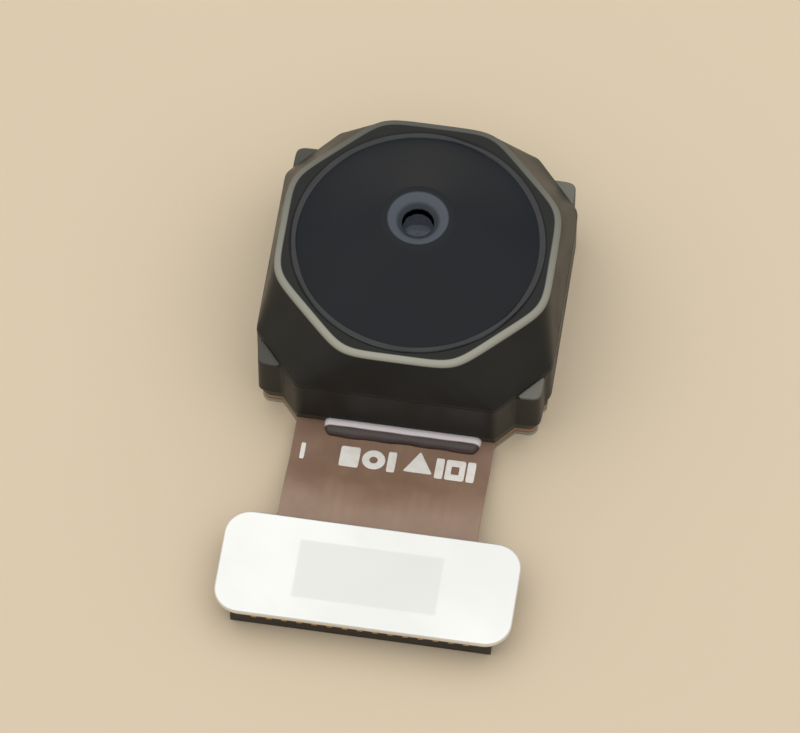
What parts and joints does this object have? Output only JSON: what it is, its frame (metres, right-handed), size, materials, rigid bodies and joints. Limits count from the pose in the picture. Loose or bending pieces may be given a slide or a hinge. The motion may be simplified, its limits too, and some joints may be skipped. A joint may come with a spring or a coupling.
{
  "type": "camera module",
  "caption": "Small fixed-focus camera head: coned lens in an eight-sided tower on a square foot, short flat flex, plated flat connector.",
  "frame": {"origin": "on the lens axis, at the back face of the steel sheet behind the head", "axes": "+Z out of the lens, +X along the connector, the tail runs along -Y"},
  "size_m": [0.0078, 0.0141, 0.0049],
  "materials": {
    "holder_plastic": "moulded black liquid-crystal polymer, satin",
    "barrel_plastic": "moulded black polycarbonate, fine matte",
    "lens_plastic": "clear moulded optical plastic, coated",
    "shade_film": "black light-stop film and rings",
    "filter_glass": "pale blue infrared-cut glass",
    "silicon": "polished silicon die",
    "gold_wire": "drawn gold wire",
    "ceramic": "sintered ceramic with tinned ends",
    "cured_glue": "cured clear to grey epoxy",
    "board_laminate": "glass-epoxy laminate with dark solder mask",
    "polyimide": "brown polyimide film",
    "copper": "rolled copper foil",
    "stainless": "cold-rolled stainless sheet",
    "bright_plate": "bright satin stainless sheet",
    "connector_plastic": "moulded black liquid-crystal polymer",
    "contact_metal": "gold-flashed copper alloy",
    "tab_metal": "tinned copper alloy"
  },
  "bodies": {
    "root": {"lens_holder": "holder_plastic", "lens_barrel": "barrel_plastic", "barrel_glue": "cured_glue", "lens_element_1": "lens_plastic", "lens_element_2": "lens_plastic", "lens_element_3": "lens_plastic", "lens_element_4": "lens_plastic", "light_shade_1": "shade_film", "light_shade_2": "shade_film", "lens_spacer": "shade_film", "lens_retainer": "shade_film", "infrared_filter": "filter_glass", "filter_glue": "cured_glue", "sensor_die": "silicon", "die_glue": "cured_glue", "bond_wires": "gold_wire", "capacitors": "ceramic", "holder_glue": "cured_glue", "sensor_board": "board_laminate", "front_bead": "cured_glue", "flex_circuit": "polyimide", "copper_tracks": "copper", "top_coverlay": "polyimide", "bottom_coverlay": "polyimide", "back_stiffener": "stainless", "stiffener_glue": "cured_glue", "connector_plate": "bright_plate", "plate_glue": "cured_glue", "connector_housing": "connector_plastic", "connector_contacts": "contact_metal", "hold_down_tabs": "tab_metal"}
  },
  "joints": []
}
